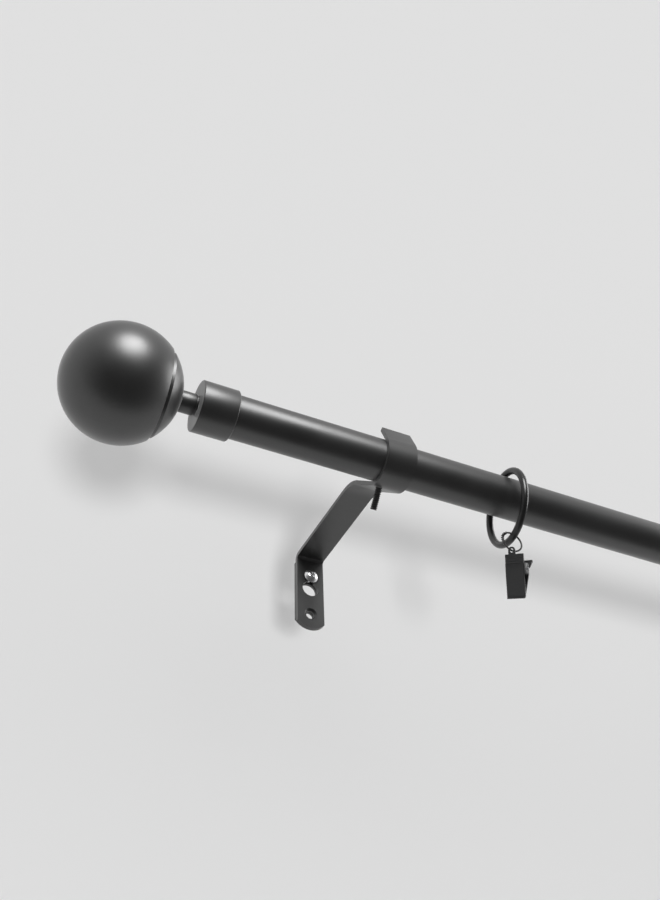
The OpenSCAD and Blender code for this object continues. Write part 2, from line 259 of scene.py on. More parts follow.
def pick(piece, test):
    """Selects the vertices that pass the test, and the edges and faces between them."""
    bpy.ops.mesh.select_all(action="DESELECT")
    shape = bmesh.from_edit_mesh(piece.data)
    for vertex in shape.verts:
        vertex.select = bool(test(vertex.co))
    shape.select_mode = {"VERT"}
    shape.select_flush(True)
    bmesh.update_edit_mesh(piece.data)


def pull(step):
    """Extrudes what is selected and moves it by a step."""
    bpy.ops.mesh.extrude_region()
    bpy.ops.transform.translate(value=step)


def cut_at(point, normal, trim=False, fill=False):
    """Cuts the mesh by a plane; trim removes what lies on the side the normal points to."""
    bpy.ops.mesh.select_all(action="SELECT")
    bpy.ops.mesh.bisect(plane_co=point, plane_no=normal, clear_outer=trim, use_fill=fill,
                        threshold=CUT_TOLERANCE)


def modify(piece, kind, **settings):
    """Adds a modifier, sets it and applies it."""
    activate(piece)
    bpy.ops.object.modifier_add(type=kind)
    modifier = piece.modifiers[-1]
    for key, value in settings.items():
        setattr(modifier, key, value)
    bpy.ops.object.modifier_apply(modifier=modifier.name)


def ease_edges(piece, width, segments=3, angle=40):
    """Rounds the edges that are sharper than an angle."""
    modify(piece, "BEVEL", width=width, segments=segments, limit_method="ANGLE",
           angle_limit=math.radians(angle), use_clamp_overlap=True)


def drill(piece, tool):
    """Cuts a tool's shape out of a piece and removes the tool."""
    modify(piece, "BOOLEAN", object=tool, operation="DIFFERENCE", solver="EXACT")
    bpy.data.objects.remove(tool)


def drill_round(piece, centre, radius, depth, turned=FACING, top_r=None):
    """Drills a round hole, or a conical one, whose axis is Z turned by the given angles."""
    bpy.ops.mesh.primitive_cone_add(vertices=64, radius1=radius, radius2=top_r or radius, depth=depth,
                                    location=centre, rotation=turned)
    drill(piece, added("drill"))


def merge(pieces, name):
    """Joins pieces into the first one."""
    deselect()
    for piece in pieces:
        piece.select_set(True)
    bpy.context.view_layer.objects.active = pieces[0]
    bpy.ops.object.join()
    pieces[0].name = name
    return pieces[0]


def settle(piece, place):
    """Moves a finished piece to its place and settles that into its mesh."""
    activate(piece)
    piece.matrix_world = place
    bpy.ops.object.transform_apply(location=True, rotation=True, scale=True)
    return piece


def fit(piece, body, nodes, finish, smooth=35):
    """Gives a finished piece its shading, finish and body, in place of its plain nodes."""
    activate(piece)
    bpy.ops.object.shade_smooth_by_angle(angle=math.radians(smooth))
    piece.data.materials.clear()
    piece.data.materials.append(finish)
    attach(piece, body)
    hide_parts(*nodes)
    return piece


def turn(name, start, along, stations, around=AROUND):
    """Turns a piece about the X axis: a ring is extruded from station to station.

    A station is a distance from the start and a radius. Ends that don't meet are closed flat.
    """
    first_x, first_r = stations[0]
    bpy.ops.mesh.primitive_circle_add(vertices=around, radius=first_r, rotation=ACROSS,
                                      location=start + Vector((along * first_x, 0, 0)))
    piece = added(name)
    open_mesh(piece)
    bpy.ops.mesh.select_all(action="SELECT")
    for (x0, r0), (x1, r1) in zip(stations, stations[1:]):
        pull((along * (x1 - x0), 0, 0))
        here = start + Vector((along * x1, 0, 0))
        bpy.ops.transform.resize(value=(1, r1 / r0, r1 / r0), center_override=here)
    bpy.ops.mesh.select_all(action="SELECT")
    bpy.ops.mesh.remove_doubles(threshold=WELD_DISTANCE)
    bpy.ops.mesh.select_all(action="SELECT")
    bpy.ops.mesh.fill_holes(sides=0)
    close_mesh()
    return piece


def wire(name, points, radius, closed=False, sides=4):
    """Bends a round wire through points."""
    curve = bpy.data.curves.new(name, "CURVE")
    curve.dimensions = "3D"
    curve.bevel_depth = radius
    curve.bevel_resolution = sides
    curve.use_fill_caps = not closed
    line = curve.splines.new("POLY")
    line.points.add(len(points) - 1)
    for knot, point in zip(line.points, points):
        knot.co = (*point, 1)
    line.use_cyclic_u = closed
    piece = bpy.data.objects.new(name, curve)
    bpy.context.scene.collection.objects.link(piece)
    activate(piece)
    bpy.ops.object.convert(target="MESH")
    piece = bpy.context.object
    open_mesh(piece)
    close_mesh()
    return piece


def threaded(name, length):
    """A screw thread along Z from the origin, cut off flat at both ends."""
    bpy.ops.mesh.primitive_plane_add(size=1 * MM)
    piece = added(name)
    open_mesh(piece)
    bpy.ops.mesh.select_all(action="SELECT")
    bpy.ops.mesh.merge(type="CENTER")
    root = THREAD_R - THREAD_DEPTH
    bpy.ops.transform.translate(value=(root, 0, -2 * THREAD_PITCH))
    flank, crest, valley = (share * THREAD_PITCH for share in (0.25, 0.35, 0.15))
    for step in ((THREAD_DEPTH, 0, flank), (0, 0, crest), (-THREAD_DEPTH, 0, flank), (0, 0, valley)):
        bpy.ops.mesh.extrude_vertices_move(TRANSFORM_OT_translate={"value": step})
    bpy.ops.object.mode_set(mode="OBJECT")
    modify(piece, "SCREW", angle=math.tau, screw_offset=THREAD_PITCH, steps=THREAD_STEPS,
           render_steps=THREAD_STEPS, iterations=math.ceil(length / THREAD_PITCH) + 4)
    open_mesh(piece)
    bpy.ops.mesh.select_all(action="SELECT")
    bpy.ops.mesh.remove_doubles(threshold=THREAD_WELD)
    cut_at((0, 0, 0), (0, 0, -1), trim=True, fill=True)
    cut_at((0, 0, length), (0, 0, 1), trim=True, fill=True)
    close_mesh()
    return piece


# --- Finishes ---

def new_finish(name):
    """A material with its nodes, its links and its shader."""
    finish = bpy.data.materials.new(name)
    finish.use_nodes = True
    nodes = finish.node_tree.nodes
    return finish, nodes, finish.node_tree.links, nodes["Principled BSDF"]


def grain(nodes, links, scale, detail=3, stretch=(1, 1, 1)):
    """A noise pattern on the piece's own coordinates."""
    place = nodes.new("ShaderNodeTexCoord")
    mapping = nodes.new("ShaderNodeMapping")
    mapping.inputs["Scale"].default_value = stretch
    noise = nodes.new("ShaderNodeTexNoise")
    noise.inputs["Scale"].default_value = scale
    noise.inputs["Detail"].default_value = detail
    links.new(place.outputs["Object"], mapping.inputs["Vector"])
    links.new(mapping.outputs["Vector"], noise.inputs["Vector"])
    return noise


def spread(nodes, links, source, low, high):
    """Stretches the middle of a noise between two values."""
    ramp = nodes.new("ShaderNodeMapRange")
    ramp.inputs["From Min"].default_value = 0.3
    ramp.inputs["From Max"].default_value = 0.7
    ramp.inputs["To Min"].default_value = low
    ramp.inputs["To Max"].default_value = high
    links.new(source.outputs["Fac"], ramp.inputs["Value"])
    return ramp.outputs["Result"]


def relief(nodes, links, sources, shader):
    """Raises one or more patterns, each with its height in metres."""
    last = None
    for source, height in sources:
        bump = nodes.new("ShaderNodeBump")
        bump.inputs["Distance"].default_value = height
        links.new(source.outputs["Fac"], bump.inputs["Height"])
        if last:
            links.new(last.outputs["Normal"], bump.inputs["Normal"])
        last = bump
    links.new(last.outputs["Normal"], shader.inputs["Normal"])


def tint(nodes, links, source, dark, light, shader):
    """Varies the colour between two close tones."""
    mix = nodes.new("ShaderNodeMix")
    mix.data_type = "RGBA"
    mix.inputs["A"].default_value = (*dark, 1)
    mix.inputs["B"].default_value = (*light, 1)
    links.new(spread(nodes, links, source, 0, 1), mix.inputs["Factor"])
    links.new(mix.outputs["Result"], shader.inputs["Base Color"])


def coating(name, dark, light, rough_low, rough_high, peel, speckle=0.0, specular=0.5, sheen=0.05):
    """Baked paint: a slow orange peel, a fine speckle and patches of slightly different sheen."""
    finish, nodes, links, shader = new_finish(name)
    patches = grain(nodes, links, 45, 2)
    tint(nodes, links, grain(nodes, links, 900, 4), dark, light, shader)
    links.new(spread(nodes, links, patches, rough_low, rough_high), shader.inputs["Roughness"])
    shader.inputs["Specular IOR Level"].default_value = specular
    shader.inputs["Sheen Weight"].default_value = sheen
    shader.inputs["Sheen Roughness"].default_value = 0.3
    coarse, fine = grain(nodes, links, 1100, 2), grain(nodes, links, 4200, 2)
    relief(nodes, links, [(coarse, peel), (fine, speckle)], shader)
    return finish


def bare_metal(name, dark, light, rough_low, rough_high, stretch, scratch):
    """Plated or drawn metal with fine lines along one direction."""
    finish, nodes, links, shader = new_finish(name)
    lines = grain(nodes, links, 700, 5, stretch)
    tint(nodes, links, grain(nodes, links, 300, 4), dark, light, shader)
    links.new(spread(nodes, links, lines, rough_low, rough_high), shader.inputs["Roughness"])
    shader.inputs["Metallic"].default_value = 1
    relief(nodes, links, [(lines, scratch)], shader)
    return finish


def moulded(name, dark, light):
    """Natural nylon: slightly cloudy and a little translucent."""
    finish, nodes, links, shader = new_finish(name)
    cloud = grain(nodes, links, 120, 3)
    tint(nodes, links, cloud, dark, light, shader)
    links.new(spread(nodes, links, cloud, 0.42, 0.55), shader.inputs["Roughness"])
    shader.inputs["Subsurface Weight"].default_value = 0.08
    shader.inputs["Subsurface Scale"].default_value = 1 * MM
    relief(nodes, links, [(grain(nodes, links, 2600, 2), 0.01 * MM)], shader)
    return finish


def satin_powder_coat():
    """Black powder coat of the rod, the finials and the brackets."""
    return coating("satin_powder_coat", (0.004, 0.004, 0.0039), (0.007, 0.0069, 0.0068), 0.36, 0.42,
                   peel=0.006 * MM, speckle=0.002 * MM, specular=1, sheen=0.3)


def ring_enamel():
    """Black enamel of the curtain ring."""
    return coating("ring_enamel", (0.004, 0.004, 0.004), (0.007, 0.007, 0.007), 0.26, 0.34, peel=0.004 * MM)


def clip_lacquer():
    """Slightly paler black of the clip's pressed plates."""
    return coating("clip_lacquer", (0.006, 0.006, 0.0063), (0.010, 0.010, 0.0106), 0.3, 0.42,
                   peel=0.006 * MM)


def oiled_black_oxide():
    """Blackened steel of the set screws and the eyelet."""
    return coating("oiled_black_oxide", (0.009, 0.009, 0.010), (0.02, 0.019, 0.018), 0.28, 0.45,
                   peel=0.004 * MM)


def bright_zinc():
    """Plating of the screws that hold the arms to the wall plates."""
    return bare_metal("bright_zinc", (0.78, 0.78, 0.79), (0.9, 0.9, 0.91), 0.2, 0.32, (1, 1, 1), 0.003 * MM)


def drawn_spring_wire():
    """Bare steel of the clip's spring and pin."""
    return bare_metal("drawn_spring_wire", (0.2, 0.2, 0.21), (0.36, 0.36, 0.37), 0.22, 0.4, (1, 1, 6),
                      0.002 * MM)


def natural_nylon():
    """Plastic of the plugs and the glide inside the tubes."""
    return moulded("natural_nylon", (0.72, 0.71, 0.66), (0.82, 0.81, 0.77))


satin = satin_powder_coat()
ring_paint = ring_enamel()
clip_paint = clip_lacquer()
oiled_black = oiled_black_oxide()
zinc = bright_zinc()
drawn_wire = drawn_spring_wire()
nylon = natural_nylon()


# --- Rod ---

def rod_tube(node, body):
    """A drawn tube with its cut ends deburred inside and out."""
    low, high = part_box(node)
    outer = (high.z - low.z) / 2
    inner = outer - TUBE_WALL
    length = high.x - low.x
    start = Vector((low.x, rod_y, rod_z))
    tube = turn(node + "_finished", start, 1,
                [(0, inner), (0, outer), (length, outer), (length, inner), (0, inner)])
    ease_edges(tube, TUBE_EDGE)
    fit(tube, body, [node], satin)


# --- Finials ---

def finial(side):
    """Ball in two shells, neck and collar at one end of the rod."""
    low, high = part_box(side + "_ball_shell")
    ball_r = (high.z - low.z) / 2
    along = 1 if side == "left" else -1
    near = low.x if side == "left" else high.x
    centre = Vector((near + along * ball_r, rod_y, rod_z))
    seam = high.x - low.x - ball_r
    ball(side, centre, along, ball_r, seam)
    back_cap(side, centre, along, ball_r, seam)
    collar_lo, collar_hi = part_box(side + "_collar")
    collar_x = abs((collar_lo.x if side == "left" else collar_hi.x) - centre.x)
    neck(side, centre, along, collar_x)
    collar(side, centre, along, collar_x, collar_hi.x - collar_lo.x, (collar_hi.z - collar_lo.z) / 2)


def ball(side, centre, along, ball_r, seam):
    """Spun front shell, open at the seam, with a rolled rim."""
    bpy.ops.mesh.primitive_uv_sphere_add(segments=AROUND, ring_count=AROUND // 2, radius=ball_r,
                                         location=centre, rotation=ACROSS)
    shell = added(side + "_ball_front")
    open_mesh(shell)
    cut_at(centre + Vector((along * seam, 0, 0)), (along, 0, 0), trim=True)
    close_mesh()
    modify(shell, "SOLIDIFY", thickness=BALL_WALL, offset=-1, use_even_offset=True)
    ease_edges(shell, BALL_EDGE, segments=4)
    fit(shell, side + "_finial", [side + "_ball_shell"], satin)


def back_cap(side, centre, along, ball_r, seam):
    """Shallow dome that closes the ball, with a spigot inside the shell and a boss for the neck."""
    cap_r = ball_r - CAP_STEP
    inner_r = cap_r - BALL_WALL
    rim = seam + SEAM_GROOVE
    spigot_r = math.sqrt((ball_r - BALL_WALL) ** 2 - seam ** 2) - PRESS_GAP
    neck_start = math.sqrt(cap_r ** 2 - NECK_R ** 2)
    inner_end = math.sqrt(inner_r ** 2 - BOSS_R ** 2)

    def dome(radius, x0, x1, steps):
        """Stations along an arc about the ball's centre."""
        a0, a1 = math.acos(x0 / radius), math.acos(x1 / radius)
        angles = [a0 + (a1 - a0) * i / steps for i in range(steps + 1)]
        return [(radius * math.cos(a), radius * math.sin(a)) for a in angles]

    bore = STUD_R + PRESS_GAP
    spigot_end = seam - SPIGOT_LENGTH
    boss_end = cap_r - BOSS_LENGTH
    stations = [(spigot_end, spigot_r), (rim, spigot_r)]
    stations += dome(cap_r, rim, neck_start, 24)
    stations += [(neck_start, bore), (boss_end, bore), (boss_end, BOSS_R)]
    stations += dome(inner_r, inner_end, rim, 14)[1:-1]
    stations += [(rim, spigot_r - BALL_WALL), (spigot_end, spigot_r - BALL_WALL), (spigot_end, spigot_r)]
    cap = turn(side + "_ball_back", centre, along, stations)
    ease_edges(cap, CAP_EDGE)
    fit(cap, side + "_finial", [side + "_ball_cap"], satin)


def neck(side, centre, along, collar_x):
    """Turned neck with a step at the ball and a groove by the collar, and the stud through both."""
    low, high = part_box(side + "_stud")
    start_x = abs((low.x if along > 0 else high.x) - centre.x)
    end_x = abs((high.x if along > 0 else low.x) - centre.x)
    cap_lo, cap_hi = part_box(side + "_ball_cap")
    shoulder = abs((cap_hi.x if along > 0 else cap_lo.x) - centre.x)
    face = collar_x - FIT_GAP
    step = shoulder + NECK_SHOULDER
    groove_end = face - NECK_FLANGE - NECK_RAMP
    groove_start = groove_end - NECK_GROOVE.x
    waist = NECK_R - NECK_GROOVE.y
    edge_r = NECK_R - NECK_STEP
    tip_r = STUD_R - STUD_CHAMFER
    stations = [(start_x, tip_r), (start_x + STUD_CHAMFER, STUD_R), (shoulder, STUD_R)]
    stations += [(shoulder, edge_r), (step, edge_r), (step + NECK_RAMP, NECK_R)]
    stations += [(groove_start - NECK_RAMP, NECK_R), (groove_start, waist), (groove_end, waist)]
    stations += [(face - NECK_FLANGE, edge_r), (face, edge_r), (face, STUD_R)]
    stations += [(end_x - STUD_CHAMFER, STUD_R), (end_x, tip_r)]
    piece = turn(side + "_neck", centre, along, stations, around=64)
    ease_edges(piece, NECK_EDGE, segments=2)
    fit(piece, side + "_finial", [side + "_stud"], satin)


def collar(side, centre, along, collar_x, length, radius):
    """Cup with a slightly dished face and a chamfered mouth over the tube's end."""
    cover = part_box("outer_tube" if side == "left" else "inner_tube")
    bore = (cover[1].z - cover[0].z) / 2 + RUNNING_GAP
    hole = STUD_R + RUNNING_GAP
    face = collar_x + COLLAR_DISH
    step = collar_x + COLLAR_END
    mouth = collar_x + length
    stations = [(face, hole), (face, NECK_R + COLLAR_SEAT), (collar_x, radius - COLLAR_RIM)]
    stations += [(collar_x, radius - COLLAR_ROUND), (collar_x + COLLAR_ROUND, radius)]
    stations += [(mouth - COLLAR_CHAMFER, radius), (mouth, radius - COLLAR_CHAMFER)]
    stations += [(mouth, bore), (step, bore), (step, hole), (face, hole)]
    piece = turn(side + "_collar_cup", centre, along, stations)
    ease_edges(piece, COLLAR_EDGE, segments=2, angle=30)
    fit(piece, side + "_collar", [side + "_collar"], satin)


# --- Brackets ---

def bracket(side):
    """Arm, wall plate and their screws on one side."""
    arm = arm_strap(side)
    fit(arm, side + "_arm", [side + "_arm"], satin, smooth=30)
    plate = wall_plate(side)
    fit(plate, "wall_plates", [side + "_wall_plate"], satin, smooth=30)
    set_screw(side)
    plate_screw(side)


def round_foot(piece, centre_x, low_z, y):
    """Rounds the lower end of a plate by keeping what lies in a disc and above it."""
    disc_z = low_z + FOOT_END_R
    bpy.ops.mesh.primitive_cylinder_add(vertices=128, radius=FOOT_END_R, depth=DISC_DEPTH,
                                        location=(centre_x, y, disc_z), rotation=FACING)
    keep = added("keep")
    block_middle = (centre_x, rod_y / 2, disc_z + KEEP_BLOCK.z / 2)
    bpy.ops.mesh.primitive_cube_add(size=1, location=block_middle, scale=KEEP_BLOCK)
    above = added("above")
    modify(keep, "BOOLEAN", object=above, operation="UNION", solver="EXACT")
    bpy.data.objects.remove(above)
    modify(piece, "BOOLEAN", object=keep, operation="INTERSECT", solver="EXACT")
    bpy.data.objects.remove(keep)


def arm_strap(side):
    """Flat strap bent round the rod, along the arm and down the wall, then drilled."""
    low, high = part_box(side + "_arm")
    x = (low.x + high.x) / 2
    width = high.x - low.x
    wall_side = high.y
    r_in = tube_r + FIT_GAP
    r_mid = r_in + STRAP_T / 2
    lip = math.radians(180 - LIP_ANGLE)
    tip = Vector((x, rod_y + r_mid * math.cos(lip) + LIP_LENGTH * math.sin(lip),
                  rod_z + r_mid * math.sin(lip) - LIP_LENGTH * math.cos(lip)))
    down = Vector((0, -math.sin(lip), math.cos(lip)))
    bpy.ops.mesh.primitive_plane_add(size=1, location=tip, rotation=(lip, 0, 0))
    bpy.context.object.scale = (width, STRAP_T, 1)
    strap = added(side + "_arm_strap")
    open_mesh(strap, "FACE")
    bpy.ops.mesh.select_all(action="SELECT")
    pull(down * LIP_LENGTH)
    wrap = math.radians(270 + CRADLE_SLOPE) - lip
    bend(wrap, (x, rod_y, rod_z), 36)
    slope = math.radians(CRADLE_SLOPE)
    hump_y, hump_z, rise_length = slope_run(r_in)
    pull(rise_length * Vector((0, math.cos(slope), math.sin(slope))))
    bend(-slope, (x, hump_y, hump_z), 12)
    corner_y = wall_side - STRAP_T - BEND_R
    pull((0, corner_y - hump_y, 0))
    corner_z = rod_z + ARM_RISE - BEND_R
    bend(-math.pi / 2, (x, corner_y, corner_z), 12)
    pull((0, 0, low.z - corner_z))
    close_mesh()
    round_foot(strap, x, low.z, wall_side)
    drill_arm(strap, side, x, wall_side)
    ease_edges(strap, STRAP_EDGE, angle=50)
    return strap


def drill_arm(strap, side, x, wall_side):
    """Keyhole, countersunk fixing hole and set screw hole of an arm."""
    foot_middle = wall_side - STRAP_T / 2
    slot_length = KEYHOLE_DROP - SCREW_DROP
    drill_round(strap, (x, foot_middle, rod_z - KEYHOLE_DROP), KEYHOLE_R, DRILL_DEPTH)
    drill_round(strap, (x, foot_middle, rod_z - SCREW_DROP), SLOT_R, DRILL_DEPTH)
    bpy.ops.mesh.primitive_cube_add(size=1, location=(x, foot_middle, rod_z - SCREW_DROP - slot_length / 2))
    bpy.context.object.scale = (2 * SLOT_R, DRILL_DEPTH, slot_length)
    drill(strap, added("slot"))
    fixing_z = fixing_height()
    drill_round(strap, (x, foot_middle, fixing_z), FIXING_R, DRILL_DEPTH)
    flare = (SINK_R - FIXING_R) / SINK_DEPTH
    drill_round(strap, (x, wall_side - STRAP_T, fixing_z), FIXING_R, 2 * SINK_DEPTH,
                top_r=SINK_R + flare * SINK_DEPTH)
    _, start = set_screw_line(side)
    drill_round(strap, start, THREAD_R + RUNNING_GAP, 8 * STRAP_T, screw_angles())


def bend(angle, centre, steps):
    """Bends the selected end of a strap about a line along X; spin counts its angle the other way."""
    bpy.ops.mesh.spin(steps=steps, angle=-angle, center=centre, axis=(1, 0, 0))


def slope_run(r_in):
    """Centre of the hump's bend, and the straight length between it and the cradle."""
    slope = math.radians(CRADLE_SLOPE)
    top = ARM_RISE + STRAP_T
    bend_y = (r_in + top * math.cos(slope)) / math.sin(slope)
    reach = HUMP_R * math.tan(slope / 2)
    across = bend_y - r_in * math.sin(slope)
    up = top + r_in * math.cos(slope)
    return rod_y + bend_y + reach, rod_z + top - HUMP_R, math.hypot(across, up) - reach


def fixing_height():
    """Height of the lower fixing holes, which is the origin of the frame."""
    mount = next(m for m in frame["record"]["mounts"] if m["name"] == "wall_fixings")
    return mount["pos_m"][2]


def wall_plate(side):
    """Punched plate between the arm's foot and the wall."""
    low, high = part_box(side + "_wall_plate")
    x = (low.x + high.x) / 2
    bpy.ops.mesh.primitive_plane_add(size=1, location=(x, high.y, (low.z + high.z) / 2),
                                     rotation=FACING)
    bpy.context.object.scale = (high.x - low.x, high.z - low.z, 1)
    plate = added(side + "_wall_plate_punched")
    open_mesh(plate, "FACE")
    bpy.ops.mesh.select_all(action="SELECT")
    pull((0, low.y - high.y, 0))
    close_mesh()
    round_foot(plate, x, low.z, high.y)
    centre_y = (low.y + high.y) / 2
    for drop, radius in ((SCREW_DROP, THREAD_R + RUNNING_GAP), (KEYHOLE_DROP, ACCESS_R)):
        drill_round(plate, (x, centre_y, rod_z - drop), radius, DRILL_DEPTH)
    drill_round(plate, (x, centre_y, fixing_height()), FIXING_R, DRILL_DEPTH)
    ease_edges(plate, PLATE_EDGE, angle=50)
    return plate


# --- Screws ---

def screw_angles():
    """Angles that turn a Z axis to run along a set screw."""
    return (math.pi + math.radians(CRADLE_SLOPE), 0, 0)


def set_screw_line(side):
    """Direction of the set screw, and the point where it comes through the cradle."""
    out = Vector(joints[side + "_set_screw_out"]["axis"])
    x = middle(side + "_arm").x - SET_SCREW_SHIFT
    return out, Vector((x, rod_y, rod_z)) + out * (tube_r + FIT_GAP)


def set_screw(side):
    """Headless threaded screw with a driver slot in its outer end."""
    out, start = set_screw_line(side)
    screw = threaded(side + "_set_screw_threaded", SET_SCREW_LENGTH)
    bpy.ops.mesh.primitive_cube_add(size=1, location=(0, 0, SET_SCREW_LENGTH))
    bpy.context.object.scale = DRIVER_SLOT
    drill(screw, added("slot"))
    place = Matrix.Translation(start) @ out.to_track_quat("Z", "Y").to_matrix().to_4x4()
    settle(screw, place)
    fit(screw, side + "_set_screw", [side + "_set_screw"], oiled_black, smooth=25)


def plate_screw(side):
    """Round-head screw with a cross recess, its thread showing under the head."""
    low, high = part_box(side + "_plate_screw")
    head_r = (high.z - low.z) / 2
    shank = high.y - low.y - HEAD_H
    dome_r = (head_r ** 2 + HEAD_H ** 2) / (2 * HEAD_H)
    bpy.ops.mesh.primitive_uv_sphere_add(segments=64, ring_count=64, radius=dome_r,
                                         location=(0, 0, HEAD_H - dome_r))
    head = added(side + "_plate_screw_head")
    open_mesh(head)
    cut_at((0, 0, 0), (0, 0, -1), trim=True, fill=True)
    close_mesh()
    ease_edges(head, HEAD_RIM)
    for angle in (RECESS_TURN, RECESS_TURN + 90):
        bpy.ops.mesh.primitive_cube_add(size=1, location=(0, 0, HEAD_H),
                                        rotation=(0, 0, math.radians(angle)))
        bpy.context.object.scale = RECESS
        blade = added("blade")
        open_mesh(blade)
        pick(blade, lambda co: co.z < HEAD_H)
        bpy.ops.transform.resize(value=(RECESS_TAPER, RECESS_TAPER, 1), center_override=(0, 0, HEAD_H))
        close_mesh()
        drill(head, blade)
    ease_edges(head, RECESS_EDGE, segments=2, angle=50)
    shaft = threaded("shaft", shank + HEAD_OVERLAP)
    settle(shaft, Matrix.Translation((0, 0, -shank)))
    screw = merge([head, shaft], side + "_plate_screw_finished")
    centre = (low + high) / 2
    place = Matrix.Translation((centre.x, low.y + HEAD_H, centre.z)) @ Matrix.Rotation(math.pi / 2, 4, "X")
    settle(screw, place)
    fit(screw, side + "_plate_screw", [side + "_plate_screw"], zinc, smooth=30)


# --- Curtain ring and clip ---

def curtain_ring():
    """Bent and butt-welded wire ring with its ground weld at the top."""
    low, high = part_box("curtain_ring")
    centre = (low + high) / 2
    outer = (high.z - low.z) / 2
    bottom = Vector(joints["eyelet_swing"]["pos_m"])
    ring_r = centre.z - bottom.z
    wire_r = outer - ring_r
    yaw = math.atan2(high.x - low.x - 2 * wire_r, high.y - low.y - 2 * wire_r)
    bpy.ops.mesh.primitive_torus_add(major_segments=144, minor_segments=32, major_radius=ring_r,
                                     minor_radius=wire_r, location=centre, rotation=ACROSS)
    ring = added("curtain_ring_welded")
    open_mesh(ring)
    weld = centre + Vector((0, 0, ring_r))
    for half_width, swell in WELD_STEPS:
        pick(ring, lambda co: co.z > centre.z and abs(co.y - centre.y) < half_width)
        bpy.ops.transform.resize(value=(swell, 1, swell), center_override=weld)
    close_mesh()
    settle(ring, Matrix.Translation(centre) @ Matrix.Rotation(-yaw, 4, "Z") @ Matrix.Translation(-centre))
    fit(ring, "ring", ["curtain_ring"], ring_paint)


def eyelet():
    """Wire loop through the ring and the clip's tab, its end wound round its own leg."""
    low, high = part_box("clip_eyelet")
    centre = (low + high) / 2
    wire_r = (high.y - low.y) / 2
    loop_r = (high.z - low.z) / 2 - wire_r
    top = Vector(joints["eyelet_swing"]["pos_m"])
    hole = Vector(joints["clip_swing"]["pos_m"])
    hang = math.atan2(top.x - hole.x, top.z - hole.z)

    def on_loop(angle, off=0.0, sideways=0.0):
        """A point by its angle from the top, pinched a little towards the clip."""
        pinch = 1 - EYELET_PINCH * math.sin(angle / 2) ** 6
        r = loop_r + off
        x = r * math.sin(angle) * pinch
        z = r * math.cos(angle)
        return centre + Vector((x * math.cos(hang) + z * math.sin(hang), sideways,
                                z * math.cos(hang) - x * math.sin(hang)))

    thin = EYELET_THIN * wire_r
    loop = wire("loop", [on_loop(math.tau * i / 120) for i in range(120)], thin, closed=True)
    tail_r = TAIL_THIN * wire_r
    reach = thin + tail_r / 2
    knots = TAIL_TURNS * 16
    coil = []
    for i in range(knots + 1):
        share = i / knots
        around = math.tau * TAIL_TURNS * share
        angle = TAIL_FROM + (TAIL_TO - TAIL_FROM) * share
        coil.append(on_loop(angle, reach * math.cos(around), reach * math.sin(around)))
    tail = wire("tail", coil, tail_r, sides=2)
    piece = merge([loop, tail], "clip_eyelet_wound")
    fit(piece, "eyelet", ["clip_eyelet"], oiled_black)


def clip_place():
    """Where the clip hangs: its upright frame moved into the eyelet."""
    turned = Matrix.Identity(4)
    for angle, axis in ((CLIP_YAW, "Z"), (CLIP_LEAN, "Y"), (CLIP_PITCH, "X")):
        turned = turned @ Matrix.Rotation(math.radians(angle), 4, axis)
    return Matrix.Translation(joints["clip_swing"]["pos_m"]) @ turned


def clip_front():
    """Pressed front plate: tab, two ribs, a curled lip and a pair of folded ears."""
    half = CLIP_W / 2 - CLIP_T / 2
    left, right = TAB_SHIFT - half, TAB_SHIFT + half
    top, bottom = -TAB_RISE, -TAB_RISE - CLIP_H
    bpy.ops.mesh.primitive_plane_add(size=1, location=(0, 0, (top + bottom) / 2), rotation=FACING)
    bpy.context.object.scale = (TAB_W, CLIP_H, 1)
    plate = added("clip_front_pressed")
    open_mesh(plate)
    pick(plate, lambda co: co.x < 0)
    pull((left + TAB_W / 2, 0, 0))
    pick(plate, lambda co: abs(co.x - TAB_W / 2) < NEAR)
    pull((right - TAB_W / 2, 0, 0))
    raise_tab(plate, top)
    for height in (EAR_TOP, EAR_TOP - EAR_H, bottom + LIP_START):
        cut_at((0, 0, height), (0, 0, 1))
    press_ribs(plate, top, left, right)
    fold_ears(plate, left, right)
    curl_lip(plate, bottom)
    close_mesh()
    modify(plate, "SOLIDIFY", thickness=CLIP_T, offset=0)
    drill_round(plate, (0, 0, 0), TAB_HOLE_R, 4 * CLIP_T)
    drill_round(plate, (TAB_SHIFT, PIN_Y, PIN_Z), PIN_R + 0.03 * MM, 3 * CLIP_W, ACROSS)
    ease_edges(plate, CLIP_EDGE, segments=2, angle=35)
    settle(plate, clip_place())
    fit(plate, "clip", ["clip_front"], clip_paint, smooth=40)


def raise_tab(plate, top):
    """Draws a tab with a round end up from the middle of the plate's top edge."""
    pick(plate, lambda co: co.z > top - NEAR and abs(co.x) < TAB_W / 2 + NEAR)
    pull((0, 0, TAB_RISE))
    for angle in range(TAB_STEP, 90, TAB_STEP):
        here, before = math.radians(angle), math.radians(angle - TAB_STEP)
        rise = math.sin(here) - math.sin(before)
        narrow = math.cos(here) / math.cos(before)
        pull((0, 0, TAB_W / 2 * rise))
        bpy.ops.transform.resize(value=(narrow, 1, 1), center_override=(0, 0, 0))


def press_ribs(plate, top, left, right):
    """Presses two ribs across the plate, out towards the front."""
    feet = [top - rib * RIB_SPACING for rib in (1, 2)]
    for foot in feet:
        for edge in (0, 0.25, 0.75, 1):
            cut_at((0, 0, foot + edge * RIB_H), (0, 0, 1))
    for inset in RIB_INSETS:
        cut_at((left + inset, 0, 0), (1, 0, 0))
        cut_at((right - inset, 0, 0), (1, 0, 0))
    side = max(RIB_INSETS) - 2 * NEAR
    for foot in feet:
        pick(plate, lambda co: foot + 0.2 * RIB_H < co.z < foot + 0.8 * RIB_H
             and left + side < co.x < right - side)
        bpy.ops.transform.translate(value=(0, -RIB_RELIEF, 0))


